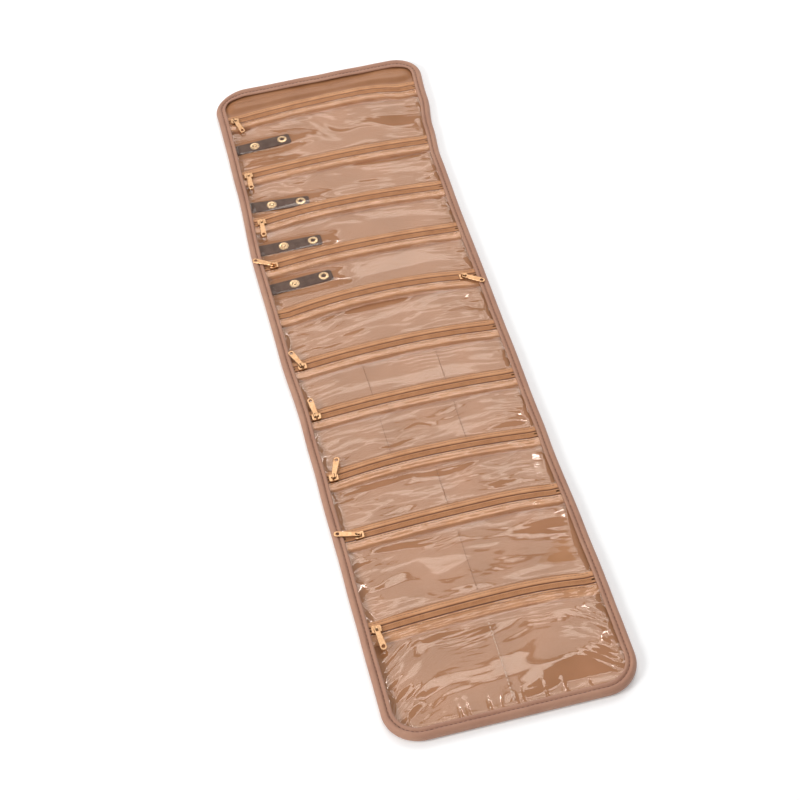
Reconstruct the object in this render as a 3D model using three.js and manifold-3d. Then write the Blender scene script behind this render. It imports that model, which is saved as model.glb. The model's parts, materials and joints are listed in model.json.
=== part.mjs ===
// Jewelry roll lying open, pockets up: outer cover, padding, clear zip pockets, snap straps.
// Millimetres. X runs across the roll, +Y towards its top end, +Z up from the underside.
import * as THREE from 'three';
import { mergeVertices } from 'three/addons/utils/BufferGeometryUtils.js';
import Module from 'manifold-3d';

// Overall sizes of the open roll.
const rollLength = 842;
const rollWidth = 220;
const cornerRadius = 32;

// Layers, from the underside up.
const layerGap = 0.25;
const coverThickness = 0.8;
const padThickness = 2.9;
const pocketDepth = 2.4;
const filmThickness = 0.3;
const tapeThickness = 0.5;
const lipThickness = 0.9;

// Bound edge: outer wall, lip folded over the layers, stitch groove on the lip.
const bindingWidth = 10;
const bindingWall = 3;
const edgeRound = 2.6;
const stitchInset = 7.2;
const stitchWidth = 0.7;
const stitchDepth = 0.35;

// Fold lines between the five sections.
const foldGap = 0.5;
const foldClear = 1;

// How far cutting blocks run past what they cut.
const overcut = 1;

// Zippers: distance of the first coil from the top end, then the steps down the roll.
const firstZip = 52;
const zipSteps = [90, 73, 65, 69, 72, 65, 75, 69, 100];
const tapeUpper = 8.5;
const tapeLower = 14;
const coilHalf = 2.4;
const coilHeight = 1.8;
const slitWidth = 1.2;
const stopLength = 0.9;
const tapeTuck = 3.5;
const filmDip = 8;

// Slider: two wings joined by a neck, edge flanges, and a bridge that holds the pull.
const sliderLength = 9;
const sliderClear = 0.3;
const wingThickness = 1;
const wingBevel = 0.25;
const flangeWidth = 1;
const noseFlare = 0.25;
const neckWidth = 0.7;
const neckLength = 3;
const bridgeWidth = 1.4;
const bridgeThickness = 0.9;
const bridgeRoom = 1.7;
const sliderInset = 6;

// Pull: flat tab with an eye round the bridge and a round hole at its free end.
const pullLength = 23;
const pullHalf = 2.9;
const pullWaist = 2.4;
const pullThickness = 1.1;
const pullBevel = 0.25;
const eyeBar = 0.6;
const eyeSide = 0.45;
const eyeArm = 1.25;
const eyeLength = 3.4;
const pullHole = 3.6;
const pullHoleInset = 3.6;

// Snap straps: sewn in at the left edge, with the stud near the root and the socket near the tip.
const strapThickness = 1;
const strapWidth = 14.5;
const strapRoot = 4;
const strapFold = 36.75;
const strapFlap = 24.25;
const snapSpacing = 30.5;
const snapDiameter = 10.5;
const studFlange = 0.6;
const studPost = 0.8;
const studDiameter = 4;
const socketHeight = 1;
const socketHole = 4.6;

// Turns of the pulls and the end of the zip where each slider stands.
const pullLies = [-76, -92, -94, 148, -35, 111, 95, 70, 164, -85];
const sliderEnds = [-1, -1, -1, -1, 1, -1, -1, -1, -1, -1];
const sliderExtras = [2, 0, 0, 0, 8, 0, 0, 0, 8, 0];

// Snap straps by distance from the top end and turn in the plane of the roll.
const strapPlaces = [96, 187, 252, 309];
const strapTurns = [4, -6, -1, 4];

// Heights that follow from the layers.
const padBase = coverThickness + layerGap;
const padTop = padBase + padThickness;
const tuckBase = padTop + pocketDepth;
const tapeBase = tuckBase + filmThickness + layerGap;
const tapeTop = tapeBase + tapeThickness;
const filmBase = tapeTop + layerGap;
const lipBase = filmBase + filmThickness + layerGap;
const lipTop = lipBase + lipThickness;
const coilBase = (tapeBase + tapeTop - coilHeight) / 2;
const coilTop = coilBase + coilHeight;
const wingBase = coilTop + sliderClear;
const wingTop = wingBase + wingThickness;
const pullAxis = wingTop + sliderClear + eyeBar;
const bridgeBase = pullAxis + eyeBar + sliderClear;

// The pulls droop until their tips stand one layer gap above the lip.
const pullLow = pullAxis - pullThickness / 2;
const pullDroop = THREE.MathUtils.radToDeg(Math.asin((pullLow - lipTop - layerGap) / pullLength));

// Snap strap heights.
const strapBase = padTop + layerGap;
const strapTop = strapBase + strapThickness;
const strapAxis = (strapTop * 2 + studFlange + socketHeight + layerGap) / 2;

// Half widths and lengths that follow.
const openHalf = rollWidth / 2 - bindingWidth;
const cavityHalf = rollWidth / 2 - bindingWall;
const layerHalf = cavityHalf - layerGap;
const flangeInner = coilHalf + sliderClear;
const sliderHalf = flangeInner + flangeWidth;
const filmStart = sliderHalf + 2 * sliderClear;

const wasm = await Module();
wasm.setup();

const part = new THREE.Group();
part.name = 'jewelry_roll';

function finish(name, colour, roughness, metalness) {
  const material = new THREE.MeshStandardMaterial({ color: colour, roughness, metalness });
  material.name = name;
  return material;
}

const coverCloth = finish('cover_cloth', 0xb0836e, 0.8, 0);
const liningCloth = finish('lining_cloth', 0xc1987e, 0.6, 0);
const tapeCloth = finish('zip_tape', 0xc88c64, 0.75, 0);
const clearFilm = finish('clear_film', 0xd9c3b2, 0.08, 0);
const brass = finish('brass', 0xd8b478, 0.25, 1);
const strapHide = finish('strap_hide', 0x5f5050, 0.55, 0);

function solid(geometry) {
  geometry.deleteAttribute('normal');
  geometry.deleteAttribute('uv');
  const welded = mergeVertices(geometry, 1e-4);
  const vertProperties = new Float32Array(welded.attributes.position.array);
  const triVerts = new Uint32Array(welded.index.array);
  const mesh = new wasm.Mesh({ numProp: 3, vertProperties, triVerts });
  mesh.merge();
  return new wasm.Manifold(mesh);
}

function place(name, body, material) {
  const data = body.getMesh();
  const geometry = new THREE.BufferGeometry();
  geometry.setAttribute('position', new THREE.BufferAttribute(new Float32Array(data.vertProperties), 3));
  geometry.setIndex(new THREE.BufferAttribute(new Uint32Array(data.triVerts), 1));
  geometry.computeVertexNormals();
  const mesh = new THREE.Mesh(geometry, material);
  mesh.name = name;
  part.add(mesh);
}

function box(x0, x1, y0, y1, z0, z1) {
  const geometry = new THREE.BoxGeometry(x1 - x0, y1 - y0, z1 - z0);
  geometry.translate((x0 + x1) / 2, (y0 + y1) / 2, (z0 + z1) / 2);
  return solid(geometry);
}

// Outline of the roll drawn in by an inset on every side.
function rollShape(inset) {
  const halfX = rollWidth / 2 - inset;
  const halfY = rollLength / 2 - inset;
  const radius = cornerRadius - inset;
  const shape = new THREE.Shape();
  shape.moveTo(radius - halfX, -halfY);
  shape.absarc(halfX - radius, radius - halfY, radius, -Math.PI / 2, 0);
  shape.absarc(halfX - radius, halfY - radius, radius, 0, Math.PI / 2);
  shape.absarc(radius - halfX, halfY - radius, radius, Math.PI / 2, Math.PI);
  shape.absarc(radius - halfX, radius - halfY, radius, Math.PI, Math.PI * 1.5);
  return shape;
}

// Upright block over a flat shape, with its edges rounded by a bevel.
function block(shape, z0, z1, bevel, bevelSegments, curveSegments) {
  const geometry = new THREE.ExtrudeGeometry(shape, {
    depth: z1 - z0 - 2 * bevel,
    bevelEnabled: bevel > 0,
    bevelThickness: bevel,
    bevelSize: bevel,
    bevelOffset: -bevel,
    bevelSegments,
    curveSegments,
  });
  geometry.translate(0, 0, z0 + bevel);
  return solid(geometry);
}

// Block of one cross-section in Y and Z, running from one x to another.
function barAlongX(points, x0, x1) {
  const shape = new THREE.Shape(points.map(([y, z]) => new THREE.Vector2(y, z)));
  const geometry = new THREE.ExtrudeGeometry(shape, { depth: x1 - x0, bevelEnabled: false });
  const turn = new THREE.Matrix4().makeBasis(
    new THREE.Vector3(0, 1, 0),
    new THREE.Vector3(0, 0, 1),
    new THREE.Vector3(1, 0, 0),
  );
  geometry.applyMatrix4(turn);
  geometry.translate(x0, 0, 0);
  return solid(geometry);
}

const topEnd = rollLength / 2;
const zipY = [topEnd - firstZip];
for (const step of zipSteps) {
  zipY.push(zipY[zipY.length - 1] - step);
}

// The roll folds above zips 3 and 10 and below zips 6 and 8.
const foldY = [
  zipY[2] + tapeUpper + foldClear,
  zipY[5] - tapeLower - 2 * foldClear,
  zipY[7] - tapeLower - 2 * foldClear,
  zipY[9] + tapeUpper + foldClear,
];

const sectionTops = [topEnd + overcut, ...foldY.map((y) => y - foldGap / 2)];
const sectionLows = [...foldY.map((y) => y + foldGap / 2), -topEnd - overcut];

function section(body, index) {
  const half = rollWidth / 2 + overcut;
  return body.intersect(
    box(-half, half, sectionLows[index], sectionTops[index], -overcut, lipTop + overcut));
}

// Outer cover with the bound edge turned up and folded over the layers inside it.
const cornerSteps = 7;
const stitchOuter = block(
  rollShape(stitchInset), lipTop - stitchDepth, lipTop + overcut, 0, 0, cornerSteps);
const stitchInner = block(
  rollShape(stitchInset + stitchWidth), lipBase, lipTop + 2 * overcut, 0, 0, cornerSteps);
const cover = block(rollShape(0), 0, lipTop, edgeRound, 3, cornerSteps)
  .subtract(block(rollShape(bindingWall), coverThickness, lipBase, 0, 0, cornerSteps))
  .subtract(block(rollShape(bindingWidth), padBase, lipTop + overcut, 0, 0, cornerSteps))
  .subtract(stitchOuter.subtract(stitchInner));

// Padding with its lining.
const padding = block(rollShape(bindingWall + layerGap), padBase, padTop, padThickness / 6, 1, cornerSteps);

for (let index = 0; index < sectionTops.length; index += 1) {
  place(`outer_cover_${index + 1}`, section(cover, index), coverCloth);
  place(`padding_${index + 1}`, section(padding, index), liningCloth);
}

// Everything under the lip stays inside this outline.
const layerOutline = block(rollShape(bindingWall + layerGap), 0, lipTop, 0, 0, cornerSteps);

// Facing between the top binding and the first zip.
const facing = box(
  -layerHalf, layerHalf, zipY[0] + tapeUpper - tapeTuck, topEnd, tuckBase, tuckBase + filmThickness);
place('top_facing', facing.intersect(layerOutline), liningCloth);

// Clear pocket front: flat over the lower tape, dipping under the next zip's upper tape.
function pocketFront(upperY, lowerY, dips) {
  const steps = 5;
  const lower = [[upperY, filmBase]];
  for (let step = 0; step <= steps; step += 1) {
    const along = step / steps;
    const drop = dips ? (filmBase - tuckBase) * along * along * (3 - 2 * along) : 0;
    lower.push([lowerY + tapeTuck + filmDip * (1 - along), filmBase - drop]);
  }
  lower.push([lowerY, dips ? tuckBase : filmBase]);
  const upper = lower.map(([y, z]) => [y, z + filmThickness]).reverse();
  return barAlongX([...lower.reverse(), ...upper.reverse()], -layerHalf, layerHalf);
}

for (let index = 0; index < zipY.length; index += 1) {
  let upperY = zipY[index] - filmStart;
  let lowerY = -topEnd;
  if (index + 1 < zipY.length) {
    lowerY = zipY[index + 1] + tapeUpper - tapeTuck;
  }
  for (const fold of foldY) {
    if (fold < zipY[index] && fold > zipY[index] - tapeLower - 3 * foldClear) {
      upperY = fold - foldGap / 2;
    }
    if (fold < upperY && fold > lowerY) {
      lowerY = fold + foldGap / 2;
    }
  }
  const film = pocketFront(upperY, lowerY, index + 1 < zipY.length);
  const label = String(index + 1).padStart(2, '0');
  place(`window_${label}`, film.intersect(layerOutline), clearFilm);
}

// Zip tapes with their two coil rows, joined by the stops at both ends.
function zipper(y) {
  const tape = box(-layerHalf, layerHalf, y - tapeLower, y + tapeUpper, tapeBase, tapeTop);
  const shoulder = coilHeight / 4;
  const coil = barAlongX([
    [y - coilHalf, coilBase + shoulder],
    [y - coilHalf + shoulder, coilBase],
    [y + coilHalf - shoulder, coilBase],
    [y + coilHalf, coilBase + shoulder],
    [y + coilHalf, coilTop - shoulder],
    [y + coilHalf - shoulder, coilTop],
    [y - coilHalf + shoulder, coilTop],
    [y - coilHalf, coilTop - shoulder],
  ], -openHalf + layerGap, openHalf - layerGap);
  const slitHalf = openHalf - layerGap - stopLength;
  const slit = box(
    -slitHalf, slitHalf, y - slitWidth / 2, y + slitWidth / 2, coilBase - overcut, coilTop + overcut);
  return tape.add(coil).subtract(slit);
}

// Bridge standing over the pull's bar, in its own X and Z, centred on the slider.
function bridge() {
  const outer = bridgeRoom + bridgeThickness;
  const top = bridgeBase + bridgeThickness;
  const foot = wingTop - wingThickness / 2;
  const crown = bridgeThickness;
  const shape = new THREE.Shape();
  shape.moveTo(-outer, foot);
  shape.lineTo(-bridgeRoom, foot);
  shape.lineTo(-bridgeRoom, bridgeBase - crown / 2);
  shape.lineTo(-bridgeRoom + crown / 2, bridgeBase);
  shape.lineTo(bridgeRoom - crown / 2, bridgeBase);
  shape.lineTo(bridgeRoom, bridgeBase - crown / 2);
  shape.lineTo(bridgeRoom, foot);
  shape.lineTo(outer, foot);
  shape.lineTo(outer, top - crown);
  shape.quadraticCurveTo(outer, top, outer - crown * 1.5, top);
  shape.lineTo(crown * 1.5 - outer, top);
  shape.quadraticCurveTo(-outer, top, -outer, top - crown);
  const geometry = new THREE.ExtrudeGeometry(shape, {
    depth: bridgeWidth,
    bevelEnabled: false,
    curveSegments: 3,
  });
  geometry.translate(0, 0, -bridgeWidth / 2);
  geometry.rotateX(Math.PI / 2);
  return solid(geometry);
}

function slider() {
  const half = sliderLength / 2;
  const tail = sliderHalf - noseFlare;
  const nose = sliderHalf + noseFlare;
  const round = sliderHalf / 2;
  const shape = new THREE.Shape();
  shape.moveTo(-half + round / 2, -tail);
  shape.lineTo(half - round, -nose);
  shape.quadraticCurveTo(half, -nose, half, round - nose);
  shape.lineTo(half, nose - round);
  shape.quadraticCurveTo(half, nose, half - round, nose);
  shape.lineTo(-half + round / 2, tail);
  shape.quadraticCurveTo(-half, tail, -half, tail - round / 2);
  shape.lineTo(-half, round / 2 - tail);
  shape.quadraticCurveTo(-half, -tail, -half + round / 2, -tail);
  const wingLow = coilBase - sliderClear - wingThickness;
  const body = block(shape, wingLow, wingTop, wingBevel, 2, 4);
  const long = sliderLength;
  const channel = box(
    -long, long, -flangeInner, flangeInner, coilBase - sliderClear, coilTop + sliderClear);
  const slot = box(-long, long, -long, long, tapeBase - sliderClear, tapeTop + sliderClear);
  const neck = box(
    -neckLength / 2, neckLength / 2, -neckWidth / 2, neckWidth / 2,
    coilBase - 2 * sliderClear, coilTop + 2 * sliderClear);
  return body.subtract(channel).subtract(slot).add(neck);
}

// Pull lying along +X from its bar at the origin.
function pull() {
  const eyeHalf = bridgeWidth / 2 + eyeSide + eyeArm;
  const shape = new THREE.Shape();
  shape.moveTo(-eyeBar, -eyeHalf + eyeBar);
  shape.quadraticCurveTo(-eyeBar, -eyeHalf, 0, -eyeHalf);
  shape.lineTo(eyeLength, -eyeHalf);
  shape.quadraticCurveTo(eyeLength + eyeArm, -pullWaist, eyeLength + 2 * eyeArm, -pullWaist);
  shape.quadraticCurveTo(pullLength / 2, -pullHalf, pullLength - pullHalf, -pullHalf);
  shape.absarc(pullLength - pullHalf, 0, pullHalf, -Math.PI / 2, Math.PI / 2);
  shape.quadraticCurveTo(pullLength / 2, pullHalf, eyeLength + 2 * eyeArm, pullWaist);
  shape.quadraticCurveTo(eyeLength + eyeArm, pullWaist, eyeLength, eyeHalf);
  shape.lineTo(0, eyeHalf);
  shape.quadraticCurveTo(-eyeBar, eyeHalf, -eyeBar, eyeHalf - eyeBar);
  const tab = block(shape, -pullThickness / 2, pullThickness / 2, pullBevel, 1, 5);
  const eye = box(
    eyeBar, eyeLength, -bridgeWidth / 2 - eyeSide, bridgeWidth / 2 + eyeSide,
    -pullThickness, pullThickness);
  const hole = new THREE.CylinderGeometry(pullHole / 2, pullHole / 2, pullThickness * 2, 12);
  hole.rotateX(Math.PI / 2);
  hole.translate(pullLength - pullHoleInset, 0, 0);
  return tab.subtract(eye).subtract(solid(hole));
}

for (let index = 0; index < zipY.length; index += 1) {
  const label = String(index + 1).padStart(2, '0');
  const end = sliderEnds[index];
  const lie = pullLies[index];
  const x = end * (openHalf - sliderInset - sliderExtras[index]);
  place(`zipper_${label}`, zipper(zipY[index]), tapeCloth);
  const facingTurn = end < 0 ? 180 : 0;
  const body = slider().rotate([0, 0, facingTurn]).add(bridge().rotate([0, 0, lie]));
  place(`slider_${label}`, body.translate([x, zipY[index], 0]), brass);
  const tab = pull().rotate([0, pullDroop, 0]).rotate([0, 0, lie]);
  place(`pull_${label}`, tab.translate([x, zipY[index], pullAxis]), brass);
}

function disc(diameter, x, z0, z1) {
  const geometry = new THREE.CylinderGeometry(diameter / 2, diameter / 2, z1 - z0, 20);
  geometry.rotateX(Math.PI / 2);
  geometry.translate(x, 0, (z0 + z1) / 2);
  return solid(geometry);
}

// Stud: flange sewn through the strap, with a rounded post.
function stud(x) {
  const post = studDiameter / 2;
  const profile = [
    new THREE.Vector2(0, 0),
    new THREE.Vector2(snapDiameter / 2, 0),
    new THREE.Vector2(snapDiameter / 2, studFlange * 2 / 3),
    new THREE.Vector2(snapDiameter / 2 - studFlange, studFlange),
    new THREE.Vector2(post, studFlange),
    new THREE.Vector2(post, studFlange + studPost / 2),
    new THREE.Vector2(post - studPost / 2, studFlange + studPost),
    new THREE.Vector2(0, studFlange + studPost),
  ];
  const geometry = new THREE.LatheGeometry(profile, 20);
  geometry.rotateX(Math.PI / 2);
  geometry.translate(x, 0, strapTop);
  return solid(geometry);
}

// Strap in its own frame: root at x = 0, running along +X.
const studX = strapFold - snapSpacing / 2;
const socketX = strapFold + snapSpacing / 2;

function strapBand(x0, x1, tipRound) {
  const half = strapWidth / 2;
  const shape = new THREE.Shape();
  shape.moveTo(x0, -half);
  shape.lineTo(x1 - tipRound, -half);
  shape.quadraticCurveTo(x1, -half, x1, tipRound - half);
  shape.lineTo(x1, half - tipRound);
  shape.quadraticCurveTo(x1, half, x1 - tipRound, half);
  shape.lineTo(x0, half);
  return block(shape, strapBase, strapTop, 0, 0, 3);
}

const bendGap = layerGap / 2;
for (let index = 0; index < strapPlaces.length; index += 1) {
  const y = topEnd - strapPlaces[index];
  const turn = [0, 0, strapTurns[index]];
  const bandBase = strapBand(-strapRoot, strapFold - bendGap, strapThickness / 4);
  const base = bandBase.add(stud(studX).translate([0, 0, -layerGap / 4]));
  const socketBody = disc(snapDiameter, socketX, strapTop - layerGap / 4, strapTop + socketHeight)
    .subtract(disc(socketHole, socketX, strapTop, strapTop + 2 * socketHeight));
  const bandFlap = strapBand(strapFold + bendGap, strapFold + strapFlap, strapWidth / 8);
  const flap = bandFlap.add(socketBody);
  place(`strap_base_${index + 1}`, base.rotate(turn).translate([-openHalf, y, 0]), strapHide);
  place(`strap_flap_${index + 1}`, flap.rotate(turn).translate([-openHalf, y, 0]), strapHide);
}

export default part;
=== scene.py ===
import json
import math
from functools import lru_cache

import bmesh
import bpy
from mathutils import Matrix, Vector, noise


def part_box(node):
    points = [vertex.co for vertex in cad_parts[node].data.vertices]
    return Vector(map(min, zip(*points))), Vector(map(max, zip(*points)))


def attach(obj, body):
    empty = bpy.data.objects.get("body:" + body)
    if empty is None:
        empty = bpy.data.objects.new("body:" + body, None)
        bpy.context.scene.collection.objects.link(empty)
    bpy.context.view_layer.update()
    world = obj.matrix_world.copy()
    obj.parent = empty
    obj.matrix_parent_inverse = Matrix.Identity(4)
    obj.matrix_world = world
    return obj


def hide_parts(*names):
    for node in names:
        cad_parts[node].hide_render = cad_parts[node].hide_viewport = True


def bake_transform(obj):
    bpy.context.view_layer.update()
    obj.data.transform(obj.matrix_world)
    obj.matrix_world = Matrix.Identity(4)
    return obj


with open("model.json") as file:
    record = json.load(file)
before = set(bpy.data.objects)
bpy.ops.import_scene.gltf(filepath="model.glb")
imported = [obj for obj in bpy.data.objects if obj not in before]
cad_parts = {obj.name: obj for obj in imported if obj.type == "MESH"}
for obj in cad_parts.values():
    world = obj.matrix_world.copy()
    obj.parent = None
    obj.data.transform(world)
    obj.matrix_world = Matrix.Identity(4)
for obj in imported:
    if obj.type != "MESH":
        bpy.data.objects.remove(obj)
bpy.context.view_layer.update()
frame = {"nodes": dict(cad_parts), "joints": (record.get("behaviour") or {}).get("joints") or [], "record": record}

mm = 0.001
joints = {joint["name"]: joint for joint in frame["joints"]}
nodes = frame["nodes"]
foldY = [joints[f"fold_{k}"]["pos_m"][1] for k in (1, 2, 3, 4)]
lastFold = len(foldY) - 1
zipLabels = [f"{k:02d}" for k in range(1, 11)]
lastPocket = len(zipLabels)
tapeLower = 14 * mm
zipY = [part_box(f"zipper_{label}")[0].y + tapeLower for label in zipLabels]
bodies = frame["record"]["behaviour"]["bodies"]
bodyOf = {node: body for body, members in bodies.items() for node in members}

# The roll's outline, shared by every soft layer, and how far in the sewn layers start.
roll = {"halfX": 110 * mm, "halfY": 421 * mm, "corner": 32 * mm, "allowance": 5 * mm}

# How far each zip bows towards the top end, and where across the roll it bows most, in mm.
zipBow = ((6, 45), (3, 10), (5, -15), (4, -10), (7, 0), (4.5, 10), (3, 0), (5, -10), (3, 40), (4, 30))

# Sideways drift of the two long edges as the strip lies, as (place along the roll, drift) in mm.
drift = {
    "left": ((421, 6), (387, 0.6), (340, 0.5), (270, 0), (150, -4), (20, -3), (-70, 0), (-421, 0)),
    "right": ((421, 15.5), (350, 10), (300, 4), (250, 0), (172, -1), (-150, -1), (-320, 1), (-421, 0.5)),
}
ripple = {"size": 0.5 * mm, "reach": 45 * mm}


def smooth(low, high, value):
    share = min(1, max(0, (value - low) / (high - low)))
    return share * share * (3 - 2 * share)


def linear(hexText):
    parts = [int(hexText[i:i + 2], 16) / 255 for i in (1, 3, 5)]
    return tuple(p / 12.92 if p <= 0.04045 else ((p + 0.055) / 1.055) ** 2.4 for p in parts) + (1,)


def wobble(x, y, z, reach):
    # smooth noise; a fixed number in place of x, y or z picks one layer of it
    return noise.noise(Vector((x, y, z)) / reach)


def driftAt(side, y):
    stops = drift[side]
    for (upper, first), (lower, second) in zip(stops, stops[1:]):
        if y >= lower * mm:
            return (second + (first - second) * smooth(lower * mm, upper * mm, y)) * mm
    return stops[-1][1] * mm


def lay(x, y):
    # where a point of the straight strip comes to lie, sideways
    share = (x + roll["halfX"]) / (2 * roll["halfX"])
    sway = ripple["size"] * wobble(0.37, y, 0.2, ripple["reach"])
    return x + driftAt("left", y) * (1 - share) + driftAt("right", y) * share + sway


def addNode(tree, kind, **values):
    node = tree.nodes.new(kind)
    for key, value in values.items():
        name = key.replace("_", " ")
        if name in node.inputs:
            node.inputs[name].default_value = value
        else:
            setattr(node, key, value)
    return node


def newMaterial(name, colour, roughness, metallic=0.0):
    material = bpy.data.materials.new(name)
    material.use_nodes = True
    shader = material.node_tree.nodes["Principled BSDF"]
    shader.inputs["Base Color"].default_value = linear(colour)
    shader.inputs["Roughness"].default_value = roughness
    shader.inputs["Metallic"].default_value = metallic
    material.diffuse_color = linear(colour)
    return material, material.node_tree, shader


def tintNoise(tree, shader, coords, tones, grain):
    # slow drift between two dye tones
    source = addNode(tree, "ShaderNodeTexNoise", Scale=1 / grain, Detail=4)
    ramp = addNode(tree, "ShaderNodeValToRGB")
    first, second = ramp.color_ramp.elements
    first.position, second.position = 0.3, 0.7
    first.color, second.color = linear(tones[0]), linear(tones[1])
    tree.links.new(coords.outputs["Object"], source.inputs["Vector"])
    tree.links.new(source.outputs["Fac"], ramp.inputs["Fac"])
    tree.links.new(ramp.outputs["Color"], shader.inputs["Base Color"])


# A wave node repeats after this length over its scale.
waveLength = 0.314


def weaveBump(tree, shader, coords, pitches, depth, strength):
    # crossed threads, one wave per thread direction
    highest = addNode(tree, "ShaderNodeMath", operation="MAXIMUM")
    for slot, (direction, pitch) in enumerate(zip("XY", pitches)):
        wave = addNode(tree, "ShaderNodeTexWave", Scale=waveLength / pitch, Distortion=0.6,
                       bands_direction=direction)
        tree.links.new(coords.outputs["Object"], wave.inputs["Vector"])
        tree.links.new(wave.outputs["Fac"], highest.inputs[slot])
    bump = addNode(tree, "ShaderNodeBump", Strength=strength, Distance=depth)
    tree.links.new(highest.outputs["Value"], bump.inputs["Height"])
    tree.links.new(bump.outputs["Normal"], shader.inputs["Normal"])


def makeClothMaterial(name, tones, grain, pitches, depth, strength, roughness, sheen=0.0):
    material, tree, shader = newMaterial(name, tones[0], roughness)
    coords = addNode(tree, "ShaderNodeTexCoord")
    tintNoise(tree, shader, coords, tones, grain)
    weaveBump(tree, shader, coords, pitches, depth, strength)
    shader.inputs["Sheen Weight"].default_value = sheen
    shader.inputs["Sheen Roughness"].default_value = 0.4
    return material


# Dusty rose-brown polyester of the cover and its binding, fine plain weave.
coverCloth = makeClothMaterial("coverCloth", ("#ac7d66", "#b78970"), grain=26 * mm,
                               pitches=(0.5 * mm, 0.42 * mm), depth=0.12 * mm, strength=0.35,
                               roughness=0.62, sheen=0.25)

# Satin lining in a warmer dye, with long floats across the roll.
liningSatin = makeClothMaterial("liningSatin", ("#a9744b", "#b9825b"), grain=45 * mm,
                                pitches=(1.1 * mm, 0.35 * mm), depth=0.05 * mm, strength=0.12,
                                roughness=0.42)
liningSatin.node_tree.nodes["Principled BSDF"].inputs["Specular IOR Level"].default_value = 0.2

# Facing cloth: the lining's own satin, painted darker than the lining as painted shade of its pleats and folds.
shadedFacingSatin = makeClothMaterial("shadedFacingSatin", ("#9e6842", "#b17b53"), grain=45 * mm,
                                pitches=(1.1 * mm, 0.35 * mm), depth=0.05 * mm, strength=0.12,
                                roughness=0.45)

# Orange-tan woven zip tape, ribbed along its length.
zipTape = makeClothMaterial("zipTape", ("#c78d61", "#daa175"), grain=14 * mm,
                            pitches=(0.6 * mm, 1.3 * mm), depth=0.25 * mm, strength=0.45,
                            roughness=0.7, sheen=0.1)


def makeThreadMaterial(name, colour, tones, grain, roughness):
    material, tree, shader = newMaterial(name, colour, roughness)
    tintNoise(tree, shader, addNode(tree, "ShaderNodeTexCoord"), tones, grain)
    return material


# Polyester sewing thread, matched to the binding; its dark colour is also painted over a band of each zip tape
# beside the coil, as painted shade of the groove there.
threadAndGrooveShade = makeThreadMaterial("threadAndGrooveShade", "#7a5242", ("#6e4939", "#86604f"), grain=2 * mm, roughness=0.55)

# Thread of the seam that splits the end pocket: the same thread as the other seams, painted paler as a painted
# highlight along this seam.
paleHighlightThread = makeThreadMaterial("paleHighlightThread", "#e0c1aa", ("#d8b69e", "#e8ccb6"), grain=2 * mm,
                                roughness=0.5)

# Tan thread of the other seams that split a pocket.
tanThread = makeThreadMaterial("tanThread", "#9c7158", ("#8f654d", "#aa7f66"), grain=2 * mm,
                               roughness=0.5)

# Nylon coil, dyed close to its tape.
coilNylon = makeThreadMaterial("coilNylon", "#c28658", ("#b97f52", "#cd9365"), grain=6 * mm,
                               roughness=0.4)

# Clear flexible vinyl: see-through face on, mirror-like at a glance. Its two tints are linear shares.
vinyl = {"clear": (0.985, 0.975, 0.965, 1), "gloss": (1, 0.93, 0.86, 1), "roughness": 0.05,
         "faceOn": 0.035, "falloff": 5}


def makeFilmMaterial():
    material = bpy.data.materials.new("clearVinyl")
    material.use_nodes = True
    tree = material.node_tree
    tree.nodes.clear()
    output = addNode(tree, "ShaderNodeOutputMaterial")
    clear = addNode(tree, "ShaderNodeBsdfTransparent", Color=vinyl["clear"])
    gloss = addNode(tree, "ShaderNodeBsdfGlossy", Color=vinyl["gloss"], Roughness=vinyl["roughness"])
    glance = addNode(tree, "ShaderNodeLayerWeight", Blend=0.5)
    power = addNode(tree, "ShaderNodeMath", operation="POWER")
    power.inputs[1].default_value = vinyl["falloff"]
    share = addNode(tree, "ShaderNodeMath", operation="MULTIPLY_ADD")
    share.inputs[1].default_value = 1 - vinyl["faceOn"]
    share.inputs[2].default_value = vinyl["faceOn"]
    mix = addNode(tree, "ShaderNodeMixShader")
    links = tree.links
    links.new(glance.outputs["Facing"], power.inputs[0])
    links.new(power.outputs["Value"], share.inputs[0])
    links.new(share.outputs["Value"], mix.inputs["Fac"])
    links.new(clear.outputs["BSDF"], mix.inputs[1])
    links.new(gloss.outputs["BSDF"], mix.inputs[2])
    links.new(mix.outputs["Shader"], output.inputs["Surface"])
    return material


clearVinyl = makeFilmMaterial()

# Light gold plating with faint handling marks, from its smoothest to its dullest spots.
plating = {"tint": 3 * mm, "marks": 1.2 * mm, "smoothest": 0.2, "dullest": 0.36}


def makeGoldMaterial(name, tones):
    material, tree, shader = newMaterial(name, tones[0], 0.3, metallic=1.0)
    coords = addNode(tree, "ShaderNodeTexCoord")
    tintNoise(tree, shader, coords, tones, plating["tint"])
    marks = addNode(tree, "ShaderNodeTexNoise", Scale=1 / plating["marks"], Detail=5)
    spread = addNode(tree, "ShaderNodeMapRange")
    spread.inputs["To Min"].default_value = plating["smoothest"]
    spread.inputs["To Max"].default_value = plating["dullest"]
    tree.links.new(coords.outputs["Object"], marks.inputs["Vector"])
    tree.links.new(marks.outputs["Fac"], spread.inputs["Value"])
    tree.links.new(spread.outputs["Result"], shader.inputs["Roughness"])
    return material


# Plating of the sliders and pulls.
goldPlate = makeGoldMaterial("goldPlate", ("#a67e5a", "#bd9672"))

# Paler plating of the pressed snaps.
snapPlate = makeGoldMaterial("snapPlate", ("#cba981", "#e2c6a0"))

# Dark grey-brown coated leather with a fine pebble grain.
hide = {"tint": 7 * mm, "pebble": 0.9 * mm, "depth": 0.12 * mm, "strength": 0.4}


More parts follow.
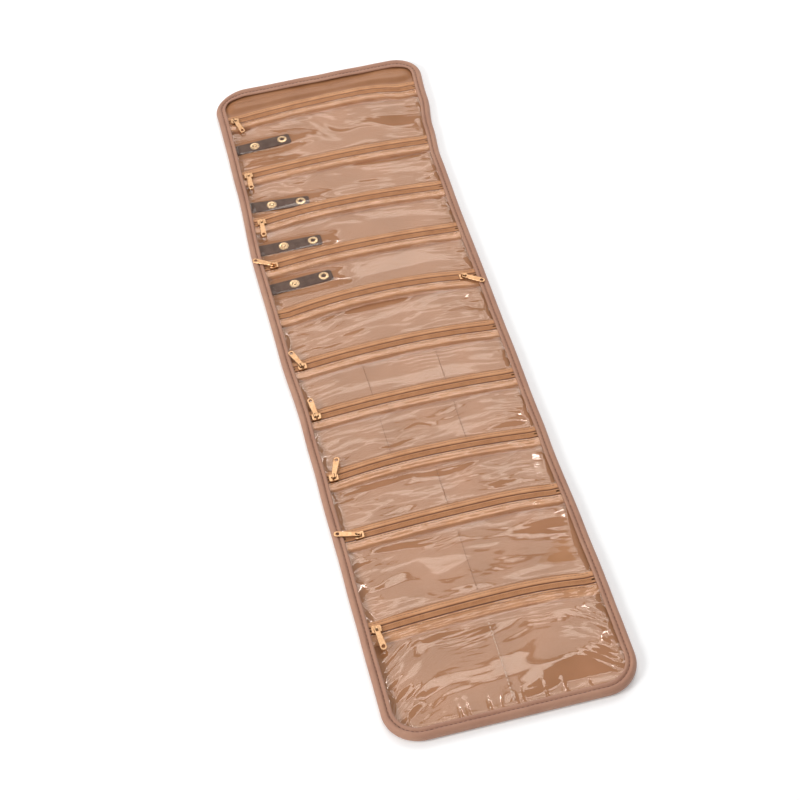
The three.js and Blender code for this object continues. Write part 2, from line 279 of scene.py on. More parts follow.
def makeHideMaterial():
    material, tree, shader = newMaterial("strapHide", "#69544a", 0.65)
    coords = addNode(tree, "ShaderNodeTexCoord")
    tintNoise(tree, shader, coords, ("#604b42", "#735d53"), hide["tint"])
    grain = addNode(tree, "ShaderNodeTexVoronoi", Scale=1 / hide["pebble"])
    bump = addNode(tree, "ShaderNodeBump", Strength=hide["strength"], Distance=hide["depth"])
    tree.links.new(coords.outputs["Object"], grain.inputs["Vector"])
    tree.links.new(grain.outputs["Distance"], bump.inputs["Height"])
    tree.links.new(bump.outputs["Normal"], shader.inputs["Normal"])
    shader.inputs["Specular IOR Level"].default_value = 0.15
    return material


strapHide = makeHideMaterial()
print("materials ready")


def finishPiece(name, mesh, materials, sharpAngle=40):
    bmesh.ops.recalc_face_normals(mesh, faces=mesh.faces)
    data = bpy.data.meshes.new(name)
    mesh.to_mesh(data)
    mesh.free()
    for material in materials:
        data.materials.append(material)
    data.shade_smooth()
    data.set_sharp_from_angle(angle=math.radians(sharpAngle))
    piece = bpy.data.objects.new(name, data)
    bpy.context.scene.collection.objects.link(piece)
    return piece


def slabFromGrid(columns, rows, topPoint, lowPoint):
    # a grid shaped by topPoint, closed down to lowPoint; both take shares 0 to 1
    mesh = bmesh.new()
    bmesh.ops.create_grid(mesh, x_segments=columns, y_segments=rows, size=0.5)
    shares = {vert: (vert.co.x + 0.5, vert.co.y + 0.5) for vert in mesh.verts}
    top = list(mesh.faces)
    made = bmesh.ops.extrude_face_region(mesh, geom=top, use_keep_orig=True)
    for vert in made["geom"]:
        if isinstance(vert, bmesh.types.BMVert):
            vert.co = lowPoint(vert.co.x + 0.5, vert.co.y + 0.5)
    for vert, (u, v) in shares.items():
        vert.co = topPoint(u, v)
    return mesh, top


def spinProfile(profile, steps, weld):
    # a turned form from (radius, height) points
    mesh = bmesh.new()
    verts = [mesh.verts.new((radius, 0, z)) for radius, z in profile]
    edges = [mesh.edges.new(pair) for pair in zip(verts, verts[1:])]
    bmesh.ops.spin(mesh, geom=verts + edges, cent=(0, 0, 0), axis=(0, 0, 1), angle=2 * math.pi,
                   steps=steps, use_merge=True)
    bmesh.ops.remove_doubles(mesh, verts=mesh.verts, dist=weld)
    return mesh


def beadShape(around, along):
    mesh = bmesh.new()
    bmesh.ops.create_uvsphere(mesh, u_segments=around, v_segments=along, radius=1)
    mesh.verts.index_update()
    points = [vert.co.copy() for vert in mesh.verts]
    faces = [[vert.index for vert in face.verts] for face in mesh.faces]
    mesh.free()
    return points, faces


def stamp(mesh, shape, place):
    points, faces = shape
    verts = [mesh.verts.new(place @ point) for point in points]
    for face in faces:
        mesh.faces.new([verts[k] for k in face])


stitchBead = beadShape(around=6, along=5)
toothBead = beadShape(around=6, along=4)


def addStitch(mesh, start, end, radius):
    # one visible thread bar, pulled into the cloth at both ends
    along = end - start
    turn = along.to_track_quat("Z", "X").to_matrix().to_4x4()
    size = Matrix.Diagonal((radius, radius, along.length / 2, 1))
    stamp(mesh, stitchBead, Matrix.Translation((start + end) / 2) @ turn @ size)


def addSeam(mesh, points, sewing):
    # stitches laid end to end along a line of points
    length, pitch = sewing["length"], sewing["length"] + sewing["gap"]
    spent = 0
    marks = []
    for first, second in zip(points, points[1:]):
        reach = (second - first).length
        while spent < reach:
            marks.append(first.lerp(second, spent / reach))
            spent += pitch
        spent -= reach
    for first, second in zip(marks, marks[1:]):
        addStitch(mesh, first, first.lerp(second, length / pitch), sewing["radius"])


# Body panel: outer cloth below, padding, satin lining above, between two cuts across the roll.
panel = {"inset": 5.5 * mm, "columns": 46, "step": 5 * mm, "lining": 3.95 * mm, "bulge": 0.25 * mm,
         "pucker": 0.12 * mm, "under": 0.05 * mm, "hem": 1.15 * mm, "swell": 0.35 * mm}
cuts = [roll["halfY"]] + [(foldY[k] + foldY[k + 1]) / 2 for k in range(lastFold)] + [-roll["halfY"]]


def halfWidthAt(y, inset):
    halfX, halfY, radius = roll["halfX"] - inset, roll["halfY"] - inset, roll["corner"] - inset
    over = abs(y) - (halfY - radius)
    if over <= 0:
        return halfX
    return halfX - radius + math.sqrt(max(0, radius * radius - over * over))


def liningHeight(x, y):
    bulge = panel["bulge"] * wobble(x, y, 0.1, 33 * mm)
    pucker = panel["pucker"] * wobble(x * 0.4, y, 0.7, 9 * mm)
    return panel["lining"] + (bulge + pucker)


def coverHeight(x, y):
    inside = min(roll["halfX"] - abs(x), roll["halfY"] - abs(y))
    swell = panel["swell"] * (1 + wobble(x, y, 0.4, 60 * mm))
    hem = panel["hem"] * (1 - smooth(10 * mm, 15 * mm, inside))
    return panel["under"] + hem + swell * smooth(15 * mm, 30 * mm, inside)


def makePanel(index):
    high, low = cuts[index], cuts[index + 1]
    if index == 0:
        high -= panel["inset"]
    if index == lastFold:
        low += panel["inset"]
    rows = int((high - low) / panel["step"])

    def place(u, v, height):
        y = low + (high - low) * v
        x = (2 * u - 1) * halfWidthAt(y, panel["inset"])
        return Vector((lay(x, y), y, height(x, y)))

    mesh, top = slabFromGrid(panel["columns"], rows, lambda u, v: place(u, v, liningHeight),
                             lambda u, v: place(u, v, coverHeight))
    for face in mesh.faces:
        face.material_index = 1
    for face in top:
        face.material_index = 0
    return finishPiece(f"bodyPanel{index + 1}", mesh, [liningSatin, coverCloth])


def bendAtFold(piece):
    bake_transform(piece)


def stoodFor(kind, index):
    # the last panel and binding stand for the last two sections
    return [f"{kind}_{index + 1}"] + ([f"{kind}_5"] if index == lastFold else [])


for index in range(lastFold + 1):
    piece = makePanel(index)
    bendAtFold(piece)
    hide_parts(*stoodFor("padding", index))
print("body panels ready")


# Binding: one strip folded over the edge, stitched along its inner side on both faces. The loop is its
# section as (inset from the edge, height) in mm.
bindingLoop = [
    (9.95, 7.9), (9.9, 8.5), (9.4, 9.0), (8.4, 9.2), (7.4, 9.0), (6.8, 8.4), (6.3, 7.95), (5.8, 7.95),
    (5.4, 8.5), (4.6, 9.3), (3.4, 9.5), (2.0, 8.9), (0.8, 7.6), (0.2, 6.0), (0.0, 4.5), (0.3, 2.8),
    (1.2, 1.3), (2.7, 0.35), (4.8, 0.05), (6.8, 0.1), (7.6, 0.4), (8.4, 0.15), (9.6, 0.1), (10.2, 0.6),
    (9.0, 0.95), (5.2, 1.0), (4.2, 1.6), (3.9, 4.0), (4.0, 7.0), (4.8, 7.6), (8.2, 7.75),
]
binding = {"step": 2 * mm, "arcSteps": 24, "topWidth": 1.35, "waver": 0.35 * mm, "pinch": 0.6 * mm,
           "pinchHalf": 2.5 * mm}
bindingSeam = {"length": 3 * mm, "gap": 1.1 * mm, "radius": 0.33 * mm, "inset": 6.05 * mm,
               "heights": (8.1 * mm, 0.25 * mm)}


def edgePaths(index):
    # points and outward directions along the outline between two cuts
    high, low = cuts[index], cuts[index + 1]
    halfX, halfY, radius = roll["halfX"], roll["halfY"], roll["corner"]
    flatX, flatY = halfX - radius, halfY - radius

    def line(start, end, out):
        dx, dy = end[0] - start[0], end[1] - start[1]
        count = max(2, int(max(abs(dx), abs(dy)) / binding["step"]))
        return [((start[0] + dx * k / count, start[1] + dy * k / count), out) for k in range(count + 1)]

    def corner(x, y, start):
        made = []
        for k in range(1, binding["arcSteps"]):
            angle = math.radians(start - 90 * k / binding["arcSteps"])
            out = (math.cos(angle), math.sin(angle))
            made.append(((x + radius * out[0], y + radius * out[1]), out))
        return made

    if index == 0:
        path = line((-halfX, low), (-halfX, flatY), (-1, 0)) + corner(-flatX, flatY, 180)
        path += line((-flatX, halfY), (flatX, halfY), (0, 1)) + corner(flatX, flatY, 90)
        return [path + line((halfX, flatY), (halfX, low), (1, 0))]
    if index == lastFold:
        path = line((halfX, high), (halfX, -flatY), (1, 0)) + corner(flatX, -flatY, 0)
        path += line((flatX, -halfY), (-flatX, -halfY), (0, -1)) + corner(-flatX, -flatY, -90)
        return [path + line((-halfX, -flatY), (-halfX, high), (-1, 0))]
    return [line((-halfX, low), (-halfX, high), (-1, 0)), line((halfX, high), (halfX, low), (1, 0))]


def onEdge(point, out, inset, z):
    # the strip is turned in further across the top end, and pinched where it is stitched
    inset *= 1 + (binding["topWidth"] - 1) * smooth(0.5, 1, out[1])
    x = point[0] - out[0] * inset
    y = point[1] - out[1] * inset
    near = math.exp(-((inset - bindingSeam["inset"]) / binding["pinchHalf"]) ** 2)
    pinch = binding["pinch"] * near * wobble(point[0], point[1], 0.8, 5 * mm)
    waver = binding["waver"] * wobble(point[0], point[1], 0.3, 22 * mm)
    return Vector((lay(x, y), y, z + (waver + pinch) * smooth(3 * mm, 7 * mm, z)))


def makeBinding(index):
    mesh = bmesh.new()
    around = len(bindingLoop)
    for path in edgePaths(index):
        along = len(path) - 1
        grid = bmesh.ops.create_grid(mesh, x_segments=along, y_segments=around, size=0.5)["verts"]
        for vert in grid:
            point, out = path[round((vert.co.x + 0.5) * along)]
            inset, z = bindingLoop[round((vert.co.y + 0.5) * around) % around]
            vert.co = onEdge(point, out, inset * mm, z * mm)
        bmesh.ops.remove_doubles(mesh, verts=grid, dist=1e-6)
        bmesh.ops.holes_fill(mesh, edges=[edge for edge in mesh.edges if edge.is_boundary], sides=0)
    return finishPiece(f"binding{index + 1}", mesh, [coverCloth], 60)


def makeBindingStitches(index):
    mesh = bmesh.new()
    for path in edgePaths(index):
        for z in bindingSeam["heights"]:
            points = [onEdge(point, out, bindingSeam["inset"], z) for point, out in path]
            addSeam(mesh, points, bindingSeam)
    return finishPiece(f"bindingStitches{index + 1}", mesh, [threadAndGrooveShade], 80)


for index in range(lastFold + 1):
    piece = makeBinding(index)
    bendAtFold(piece)
    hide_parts(*stoodFor("outer_cover", index))
    seam = makeBindingStitches(index)
    bendAtFold(seam)
print("binding ready")


# Zips: two tapes and a closed coil, bowed and a little raised between their ends.
zipper = {"upper": 8.5 * mm, "lower": tapeLower, "tapeBase": 6.9 * mm, "tapeTop": 7.4 * mm,
          "half": 104 * mm, "cut": 25 * mm, "slit": 1 * mm, "columns": 90, "rib": 0.55 * mm,
          "bowHalf": 92 * mm, "lift": 0.3, "ridge": 0.16 * mm, "ridgeHalf": 2.1 * mm,
          "rumple": 0.6 * mm, "coilSeam": 3.3 * mm, "groove": 1.5 * mm, "grooveHalf": 0.7 * mm,
          "flat": 12.2 * mm, "droop": 3 * mm, "leanFrom": 3 * mm}
teeth = {"half": 98 * mm, "pitch": 1.35 * mm, "fill": 0.48, "length": 1.7 * mm, "height": 0.85 * mm,
         "mid": 7.15 * mm, "offset": 1 * mm, "stagger": 0.25, "slant": 10}
# one row over each tape, as (place across the zip, height)
zipSeam = {"length": 2.5 * mm, "gap": 0.9 * mm, "radius": 0.22 * mm, "step": 3 * mm, "halfCount": 33,
           "rows": ((7 * mm, zipper["tapeTop"]), (-6 * mm, 7.75 * mm))}
foldByZip = {3: 0, 6: 1, 8: 2, 10: 3}
# slope of the lower tapes of zips 8 and 10, which hang forward, as drop over width
tapeLean = {7: 0.06, 9: 0.26}


@lru_cache(maxsize=None)
def bowAt(index, x):
    rise, peak = (size * mm for size in zipBow[index])
    x = lay(x, zipY[index])
    reach = zipper["bowHalf"] - peak if x > peak else zipper["bowHalf"] + peak
    return rise * max(0, 1 - ((x - peak) / reach) ** 2)


def tapePoint(index, x, dy, z):
    bow = bowAt(index, x)
    y = zipY[index] + dy + bow
    ridge = zipper["ridge"] * math.cos(dy / zipper["ridgeHalf"] * math.pi)
    ridge += zipper["rumple"] * wobble(x * 0.45, y, 0.6, 7 * mm)
    free = smooth(4 * mm, 6 * mm, abs(dy)) * smooth(0, 12 * mm, zipper["half"] - abs(x))
    groove = zipper["groove"] * math.exp(-((abs(dy) - zipper["coilSeam"]) / zipper["grooveHalf"]) ** 2)
    rise = zipper["lift"] * bow
    sag = max(0, (-dy - zipper["flat"]) / (zipper["lower"] - zipper["flat"])) ** 1.5
    lean = tapeLean.get(index, 0) * max(0, -dy - zipper["leanFrom"]) * (1 - sag)
    height = z + rise + ridge * free - groove - lean - (zipper["droop"] + rise) * sag
    return Vector((lay(x, y), y, height))


def makeTape(index):
    whole = bmesh.new()
    for near, far in ((zipper["slit"], zipper["upper"]), (-zipper["lower"], -zipper["slit"])):
        def place(u, v, z, near=near, far=far):
            return tapePoint(index, (2 * u - 1) * zipper["half"], near + (far - near) * v, z)
        rows = int((far - near) / zipper["rib"])
        mesh, top = slabFromGrid(zipper["columns"], rows, lambda u, v: place(u, v, zipper["tapeTop"]),
                                 lambda u, v: place(u, v, zipper["tapeBase"]))
        # the sunk row of sewing that holds the coil, painted in the dark thread colour: partly the sewing itself,
        # partly painted shade in its groove
        for number, face in enumerate(top):
            dy = near + (far - near) * (number // zipper["columns"] + 0.5) / rows
            if abs(abs(dy) - zipper["coilSeam"]) < zipper["rib"]:
                face.material_index = 1
        half = bpy.data.meshes.new("half")
        mesh.to_mesh(half)
        mesh.free()
        whole.from_mesh(half)
        bpy.data.meshes.remove(half)
    return finishPiece(f"zipTape{index + 1}", whole, [zipTape, threadAndGrooveShade])


def makeCoil(index):
    mesh = bmesh.new()
    size = Matrix.Diagonal((teeth["pitch"] * teeth["fill"], teeth["length"], teeth["height"], 1))
    for k in range(int(2 * teeth["half"] / teeth["pitch"])):
        for side in (-1, 1):
            x = -teeth["half"] + (k + teeth["stagger"] * side) * teeth["pitch"]
            spot = tapePoint(index, x, side * teeth["offset"], teeth["mid"])
            turn = Matrix.Rotation(math.radians(teeth["slant"] * side), 4, "Z")
            stamp(mesh, toothBead, Matrix.Translation(spot) @ turn @ size)
    return finishPiece(f"zipCoil{index + 1}", mesh, [coilNylon], 80)


def makeZipSeam(index):
    mesh = bmesh.new()
    places = [k * zipSeam["step"] for k in range(-zipSeam["halfCount"], zipSeam["halfCount"] + 1)]
    for dy, z in zipSeam["rows"]:
        addSeam(mesh, [tapePoint(index, x, dy, z) for x in places], zipSeam)
    return finishPiece(f"zipSeam{index + 1}", mesh, [threadAndGrooveShade], 80)


for index, label in enumerate(zipLabels):
    body = bodyOf[f"zipper_{label}"]
    tape, seam, coil = makeTape(index), makeZipSeam(index), makeCoil(index)
    for piece in (tape, seam):
        if index + 1 in foldByZip:
            bendAtFold(piece)
        else:
            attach(piece, body)
    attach(coil, body)
    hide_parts(f"zipper_{label}")
print("zips ready")


# Facing between the top binding and the first zip, with one broad pleat that falls back to the binding.
facing = {"high": 412 * mm, "half": 103 * mm, "base": 5.2 * mm, "thick": 0.3 * mm, "overlap": 3.5 * mm,
          "columns": 90, "rows": 30, "rise": 3.8 * mm, "fall": 3 * mm, "crease": 0.9 * mm,
          "rumple": 0.8 * mm}


def facingPoint(u, v, z):
    low = zipY[0] + zipper["upper"] - facing["overlap"]
    high = facing["high"]
    half = min(facing["half"], halfWidthAt(low + (high - low) * v, roll["allowance"]))
    x = (2 * u - 1) * half
    y = low + (high - low) * v + bowAt(0, x) * (1 - v)
    pleat = facing["rise"] * smooth(0.2, 0.38, v) - facing["fall"] * smooth(0.5, 0.85, v)
    pleat -= facing["crease"] * math.exp(-((v - 0.66) / 0.05) ** 2)
    pleat *= 1 + 0.5 * wobble(x, 0.3, 0.5, 60 * mm)
    pleat += facing["rumple"] * wobble(0.3 * x, y, 0.5, 7 * mm) * smooth(0.1, 0.3, v)
    pleat *= smooth(1.5 * mm, 14 * mm, half - abs(x))
    return Vector((lay(x, y), y, z + pleat + zipper["lift"] * bowAt(0, x) * (1 - v)))


def makeFacing():
    base = facing["base"]
    mesh = slabFromGrid(facing["columns"], facing["rows"],
                        lambda u, v: facingPoint(u, v, base + facing["thick"]),
                        lambda u, v: facingPoint(u, v, base))[0]
    # satin painted darker than the lining, as painted shade of the pleats
    return finishPiece("topFacing", mesh, [shadedFacingSatin])


topFacing = makeFacing()
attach(topFacing, "section_1")
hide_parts("top_facing")
print("facing ready")


# Snap straps: places and turns come from their folds.
strap = {"width": 14.5 * mm, "base": 4.2 * mm, "top": 5.2 * mm, "fold": 36.75 * mm, "flap": 24.25 * mm,
         "root": 4 * mm, "sewn": 3 * mm, "snap": 15.25 * mm, "bend": 3 * mm, "middle": 8 * mm,
         "tip": 2.5 * mm, "edge": 0.9 * mm, "topRound": 0.3 * mm, "lowRound": 0.15 * mm,
         "columns": 84, "rows": 18}
# snap sections as (radius, height over the strap) in mm
studProfile = [(0, -0.1), (5.2, -0.1), (5.25, 0.25), (5, 0.5), (4.4, 0.55), (4.1, 0.35), (2.8, 0.35),
               (2.3, 0.5), (2.0, 0.8), (2.05, 1.1), (1.8, 1.35), (1.1, 1.42), (0, 1.42)]
socketProfile = [(2.3, -0.1), (2.3, 0.6), (2.55, 0.95), (3.1, 1.0), (3.6, 0.75), (4.2, 0.72), (4.8, 0.8),
                 (5.25, 0.45), (5.2, -0.1), (2.3, -0.1)]


def strapFrame(number):
    joint = joints[f"strap_{number}_fold"]
    turn = math.atan2(joint["axis"][0], -joint["axis"][1])
    place = Vector((joint["pos_m"][0], joint["pos_m"][1], 0))
    return Matrix.Translation(place) @ Matrix.Rotation(turn, 4, "Z")


def makeStrap(number):
    spot = strapFrame(number)
    low, high = -strap["fold"] - strap["root"] - strap["sewn"], strap["flap"]
    radius = strap["tip"]

    def place(u, v, onTop):
        x = low + (high - low) * u
        half = strap["width"] / 2
        tip = high - x
        if tip < radius:
            half -= radius - math.sqrt(max(0, radius ** 2 - (radius - tip) ** 2))
        y = (2 * v - 1) * half
        edge = smooth(0, strap["edge"], min(strap["width"] / 2 - abs(y), tip + 0.1 * mm))
        if onTop:
            return spot @ Vector((x, y, strap["top"] - strap["topRound"] * (1 - edge)))
        return spot @ Vector((x, y, strap["base"] + strap["lowRound"] * (1 - edge)))

    mesh = slabFromGrid(strap["columns"], strap["rows"], lambda u, v: place(u, v, True),
                        lambda u, v: place(u, v, False))[0]
    return finishPiece(f"snapStrap{number}", mesh, [strapHide], 50)


def makeSnap(name, profile, spot):
    points = [(radius * mm, strap["top"] + z * mm) for radius, z in profile]
    mesh = spinProfile(points, steps=40, weld=1e-6)
    bmesh.ops.transform(mesh, matrix=spot, verts=mesh.verts)
    return finishPiece(name, mesh, [snapPlate], 50)


strapSpots = []
for number in (1, 2, 3, 4):
    home = bodyOf[f"strap_base_{number}"]
    spot = strapFrame(number)
    strapSpots.append((spot @ Vector((-strap["middle"], 0, 0))).xy)
    band = makeStrap(number)
    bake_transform(band)
    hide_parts(f"strap_base_{number}", f"strap_flap_{number}")
    stud = makeSnap(f"snapStud{number}", studProfile,
                    spot @ Matrix.Translation((-strap["snap"], 0, 0)))
    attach(stud, home)
    socket = makeSnap(f"snapSocket{number}", socketProfile,
                      spot @ Matrix.Translation((strap["snap"], 0, 0)))
    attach(socket, f"strap_flap_{number}")
print("straps ready")


# Clear pocket fronts, sewn over the lower tape and under the next zip.
film = {"thick": 0.25 * mm, "half": 104 * mm, "start": 4.3 * mm, "tuck": 5 * mm, "rise": 0.35 * mm,
        "low": 5.2 * mm, "crest": 1.4 * mm, "under": 6.4 * mm, "hem": 9 * mm, "columns": 190,
        "step": 1.05 * mm, "rumple": 0.28 * mm, "pinch": 0.25 * mm, "pinchHalf": 2.5 * mm,
        "pleat": 0.9 * mm, "rim": 7.4 * mm}
foldByFilm = {2: 0, 6: 1, 8: 2, 9: 3}
# how the film stands off a strap: height over its far side, then the step up to its near side in mm
wedge = {"low": 8.15 * mm, "steps": (1.7, 2, 2.3, 2.5), "halfX": 36 * mm, "halfY": 10.5 * mm,
         "shift": 3 * mm, "squeeze": 0.9, "edge": 0.92, "end": 1.32, "ease": 0.45, "waver": 0.08}
gather = {"size": 1.6 * mm, "fade": 14 * mm, "pitch": 5 * mm, "slant": 0.2, "endSlant": 0.8}
strain = {"size": 0.09 * mm, "pitch": 0.73 * mm, "fade": 26 * mm}
# seams that split a pocket, by their places across the roll
dividers = {6: (-36 * mm, 36 * mm), 7: (-36 * mm, 36 * mm), 8: (0,), 9: (0,), 10: (0,)}
dividerSeam = {"length": 2.4 * mm, "gap": 1.4 * mm, "radius": 0.42 * mm, "low": 0.1, "share": 0.75,
               "points": 30, "over": 0.08 * mm}
endSeam = {**dividerSeam, "radius": 0.7 * mm}

# Slack of each pocket's film: swell, creases and crinkle in mm, and the creases' slant in degrees.
slack = {1: (2.6, 0.7, 0.04, -24), 2: (2.4, 0.7, 0.04, -14), 3: (1, 0.25, 0.02, 0),
         4: (0.8, 0.12, 0.02, 3), 5: (3, 1.5, 0.1, 8), 6: (0.4, 0.1, 0.03, -8), 7: (2.4, 1, 0.15, 0),
         8: (2.4, 0.8, 0.06, 4), 9: (2, 0.45, 0.04, -7), 10: (2.6, 0.25, 0.03, 12)}


def filmWrinkle(number, x, y):
    # broad slack, long creases, and crinkle that comes in patches
    broad, crease, crinkle, slant = slack[number]
    turn = math.radians(slant)
    along = x * math.cos(turn) + y * math.sin(turn)
    across = y * math.cos(turn) - x * math.sin(turn)
    across += 9 * mm * wobble(x, y, 0.2 + number, 38 * mm)

    def rough(reachX, reachY, seed):
        return noise.noise(Vector((along / (reachX * mm), across / (reachY * mm), number * 1.9 + seed)))

    patch = 0.25 + 0.75 * smooth(-0.15, 0.35, rough(45, 30, seed=60))
    ridge = 0.5 - 2 * abs(rough(38, 13, seed=40))
    height = broad * rough(80, 36, seed=20) + crease * patch * (0.7 * rough(40, 9, seed=0) + 0.5 * ridge)
    return (height + crinkle * rough(11, 4.5, seed=80) * (0.3 + patch)) * mm


def gatherAt(number, x, y):
    # short creases running in from both sewn sides, steeper in the end pocket
    inward = film["half"] - abs(x)
    line = y - gather["endSlant" if number == lastPocket else "slant"] * inward
    fade = smooth(2 * mm, 8 * mm, inward) * math.exp(-inward / gather["fade"])
    row = Vector((line / gather["pitch"], 0.3, number + math.copysign(0.5, x)))
    return gather["size"] * fade * noise.noise(row)


def strainLines(number, x, y, fromTop):
    # fine pulled lines beside the sewn top edge, here and there
    wave = math.sin(fromTop / strain["pitch"] + 4 * wobble(x, y, 0.4 + number, 30 * mm))
    where = smooth(0, 0.3, wobble(0.6 * x, y, number, 30 * mm))
    return strain["size"] * wave * where * math.exp(-fromTop / strain["fade"])


def wedgeOver(number, x, y):
    # the film's height over a strap, and how far that holds at this point
    spot = strapSpots[number - 1]
    along = (y - spot.y + wedge["shift"]) / wedge["halfY"]
    height = wedge["low"] + wedge["steps"][number - 1] * mm * (0.5 - 0.5 * max(-1, min(1, along)))
    side = abs(x - spot.x) / wedge["halfX"]
    side = min(side, wedge["edge"]) + wedge["ease"] * max(0, side - wedge["edge"])
    away = ((wedge["squeeze"] * along) ** 4 + side ** 4) ** 0.25
    away += wedge["waver"] * wobble(x, y, 0.3, 26 * mm)
    return height, 1 - smooth(wedge["edge"], wedge["end"], away)


def endPleats(x, fromEnd):
    # upright ridges along the sewn end of the last pocket
    ridge = smooth(0, 1, 1 - abs(wobble(x, 0.2, 0.5, 15 * mm)) / 0.13) * smooth(0, 6 * mm, fromEnd)
    return film["pleat"] * ridge, 1 - smooth(9 * mm, 30 * mm, fromEnd)


def filmPoint(number, u, v, drop):
    above, last = number - 1, number == lastPocket
    x = (2 * u - 1) * film["half"]
    high = zipY[above] - film["start"] + bowAt(above, x)
    low = roll["allowance"] - roll["halfY"] if last else zipY[number] + film["tuck"] + bowAt(number, x)
    y = low + (high - low) * v
    x = (2 * u - 1) * min(film["half"], halfWidthAt(y, roll["allowance"]))
    fromTop, fromEnd = high - y, y - low
    dy = max(-zipper["lower"], -film["start"] - fromTop)
    over = tapePoint(above, x, dy, zipper["tapeTop"]).z + film["rise"]
    over += film["rumple"] * noise.noise(Vector((x / (9 * mm), y / (4 * mm), number * 3.3)))
    crest = 0 if last else film["crest"] * (1 - smooth(10 * mm, 40 * mm, fromTop))
    bed = film["low"] + crest + zipper["lift"] * bowAt(above, x) * v
    z = over + (bed - over) * smooth(8.4 * mm, 10.2 * mm, fromTop)
    side = smooth(3 * mm, 18 * mm, film["half"] - abs(x))
    free = side * smooth(10 * mm, 20 * mm, fromTop) * smooth(6 * mm, 18 * mm, fromEnd)
    z += free * filmWrinkle(number, x, y)
    z += side * smooth(9 * mm, 13 * mm, fromTop) * strainLines(number, x, y, fromTop)
    z += gatherAt(number, x, y) * smooth(8 * mm, 18 * mm, min(fromTop, fromEnd))
    for line in dividers.get(number, ()):
        z -= free * film["pinch"] * math.exp(-((x - line) / film["pinchHalf"]) ** 2)
    if number <= len(strapSpots):
        height, share = wedgeOver(number, x, y)
        z += (height - z) * share
    hem = film["rim"] if last else film["under"] + zipper["lift"] * bowAt(number, x)
    if last:
        pleat, fade = endPleats(x, fromEnd)
        z += pleat * side * fade
    edge = 1 - smooth(0, film["hem"], fromEnd)
    z += (hem - z) * edge
    # the film rises to the binding over a strip of uneven width
    reach = (9 + 9 * wobble(x, y, 0.9, 17 * mm)) * mm
    rim = 1 - smooth(2 * mm, reach, film["half"] - abs(x))
    z += (film["rim"] - z) * rim * smooth(2 * mm, 14 * mm, fromTop) * (1 - edge)
    return Vector((lay(x, y), y, z - drop))


def makeFilm(number):
    high = zipY[number - 1]
    low = zipY[number] if number < lastPocket else -roll["halfY"]
    mesh = slabFromGrid(film["columns"], int((high - low) / film["step"]),
                        lambda u, v: filmPoint(number, u, v, 0),
                        lambda u, v: filmPoint(number, u, v, film["thick"]))[0]
    return finishPiece(f"pocketFilm{number}", mesh, [clearVinyl])


def makeDividers(number):
    # the end pocket's seam gets the paler thread, a painted highlight along it
    sewing, material = (endSeam, paleHighlightThread) if number == lastPocket else (dividerSeam, tanThread)
    shares = [sewing["low"] + sewing["share"] * k / sewing["points"] for k in range(sewing["points"] + 1)]
    mesh = bmesh.new()
    for line in dividers[number]:
        u = (line / film["half"] + 1) / 2
        addSeam(mesh, [filmPoint(number, u, v, -sewing["over"]) for v in shares], sewing)
    return finishPiece(f"dividerSeam{number}", mesh, [material], 80)


for number, label in enumerate(zipLabels, 1):
    made = [makeFilm(number)]
    if number in dividers:
        made.append(makeDividers(number))
    for piece in made:
        if number in foldByFilm:
            bendAtFold(piece)
        else:
            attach(piece, bodyOf[f"window_{label}"])
    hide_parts(f"window_{label}")
    low, high = (filmPoint(number, 0.5, share, 0).y for share in (0, 1))
print("films ready")


# Sliders and pulls keep their solids, with softened edges and gold plating.
softEdge = {"width": 0.12 * mm, "segments": 2, "angle": 35}

for label in zipLabels:
    for node in (nodes[f"slider_{label}"], nodes[f"pull_{label}"]):
        node.data.materials.clear()
        node.data.materials.append(goldPlate)
        soften = node.modifiers.new("softEdge", "BEVEL")
        soften.width = softEdge["width"]
        soften.segments = softEdge["segments"]
        soften.limit_method = "ANGLE"
        soften.angle_limit = math.radians(softEdge["angle"])
print("hardware ready")


# Floor sweeping up into a round backdrop, white where it is seen, keeping a soft shadow.
cove = {"flat": 3.2, "bend": 1.2, "top": 2.2, "steps": 12, "around": 72, "paper": (0.96, 0.96, 0.96, 1),
        "glow": 0.14}


def seenDirectly(tree):
    # 1 for what the camera, a mirror or glass shows, 0 for light that is scattered
    path = addNode(tree, "ShaderNodeLightPath")
    first = addNode(tree, "ShaderNodeMath", operation="MAXIMUM")
    both = addNode(tree, "ShaderNodeMath", operation="MAXIMUM")
    tree.links.new(path.outputs["Is Camera Ray"], first.inputs[0])
    tree.links.new(path.outputs["Is Glossy Ray"], first.inputs[1])
    tree.links.new(first.outputs["Value"], both.inputs[0])
    tree.links.new(path.outputs["Is Transmission Ray"], both.inputs[1])
    return both


def makePaperMaterial():
    # matt pale paper
    material = bpy.data.materials.new("palePaper")
    material.use_nodes = True
    tree = material.node_tree
    paper = tree.nodes["Principled BSDF"]
    paper.inputs["Base Color"].default_value = cove["paper"]
    paper.inputs["Roughness"].default_value = 0.9
    paper.inputs["Emission Color"].default_value = (1, 1, 1, 1)
    seen = seenDirectly(tree)
    share = addNode(tree, "ShaderNodeMath", operation="MULTIPLY")
    share.inputs[1].default_value = cove["glow"]
    tree.links.new(seen.outputs["Value"], share.inputs[0])
    tree.links.new(share.outputs["Value"], paper.inputs["Emission Strength"])
    return material


def makeCove():
    profile = [(0, 0)]
    for k in range(cove["steps"] + 1):
        angle = math.pi / 2 * k / cove["steps"]
        out, up = cove["bend"] * math.sin(angle), cove["bend"] * (1 - math.cos(angle))
        profile.append((cove["flat"] + out, up))
    profile.append((cove["flat"] + cove["bend"], cove["top"]))
    return finishPiece("floor", spinProfile(profile, cove["around"], weld=1e-5), [makePaperMaterial()])


floor = makeCove()

# World: even dim light from the open ceiling.
world = bpy.data.worlds.new("studio")
bpy.context.scene.world = world
world.use_nodes = True
ceiling = world.node_tree.nodes["Background"]
ceiling.inputs["Color"].default_value = (1, 1, 1, 1)
ceiling.inputs["Strength"].default_value = 0.32


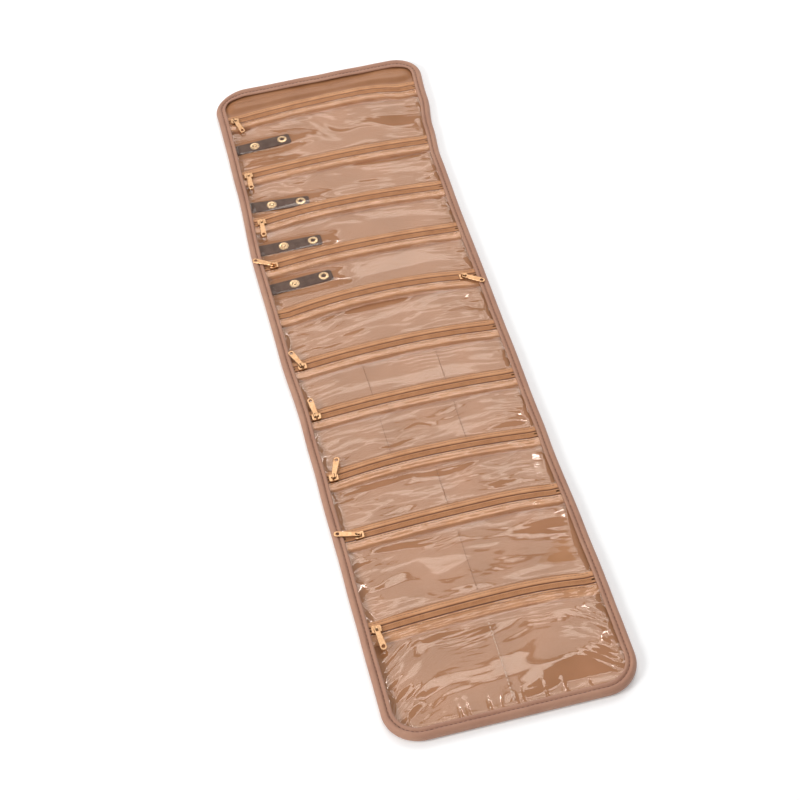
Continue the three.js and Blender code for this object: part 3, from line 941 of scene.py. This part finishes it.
def addSoftbox(name, place, target, width, depth, power):
    light = bpy.data.lights.new(name, "AREA")
    light.shape = "RECTANGLE"
    light.size = width
    light.size_y = depth
    light.energy = power
    box = bpy.data.objects.new(name, light)
    box.location = place
    box.rotation_mode = "QUATERNION"
    box.rotation_quaternion = (Vector(target) - Vector(place)).to_track_quat("-Z", "Y")
    bpy.context.scene.collection.objects.link(box)


# A broad ceiling box behind the roll with brighter strips below it, all seen in the film, a small box
# overhead in front, a key from the left, and a slim box for sparkle.
addSoftbox("ceilingBox", (0.3, 2.15, 2.4), (0.3, 2.15, 0), width=2, depth=2.3, power=26)
addSoftbox("topBox", (0, -0.7, 2.4), (0, -0.7, 0), width=1.4, depth=0.6, power=7)
for number, (y, depth, power) in enumerate(((0.8, 0.22, 5), (1.7, 0.42, 4.6), (2.95, 0.42, 2.9)), 1):
    addSoftbox(f"stripBox{number}", (0.3, y, 2.38), (0.3, y, 0), width=2, depth=depth, power=power)
addSoftbox("keyBox", (-2.1, -0.7, 1.6), (0, -0.1, 0), width=0.8, depth=0.8, power=33)
addSoftbox("sparkleBox", (1.15, 1.4, 2.3), (0, 0, 0), width=0.12, depth=0.7, power=5)

# Camera fitted to the photograph's outline of the roll.
shot = {"elevation": 50.022, "azimuth": 10.585, "roll": -4.238, "distance": 1.71202,
        "target": (-0.01219, -0.05964, 0), "lens": 81, "sensor": 36, "near": 0.05}
tilt, swing, lean = (math.radians(shot[key]) for key in ("elevation", "azimuth", "roll"))
forward = Vector((math.sin(swing) * math.cos(tilt), math.cos(swing) * math.cos(tilt), -math.sin(tilt)))
level = Vector((math.cos(swing), -math.sin(swing), 0))
upright = level.cross(forward)
right = level * math.cos(lean) + upright * math.sin(lean)
up = upright * math.cos(lean) - level * math.sin(lean)
camera = bpy.data.objects.new("camera", bpy.data.cameras.new("camera"))
camera.data.lens = shot["lens"]
camera.data.sensor_width = shot["sensor"]
camera.data.clip_start = shot["near"]
turn = Matrix((right, up, -forward)).transposed().to_4x4()
camera.matrix_world = Matrix.Translation(Vector(shot["target"]) - forward * shot["distance"]) @ turn
bpy.context.scene.collection.objects.link(camera)
bpy.context.scene.camera = camera
bpy.context.scene.view_settings.view_transform = "Standard"
print("stage ready")
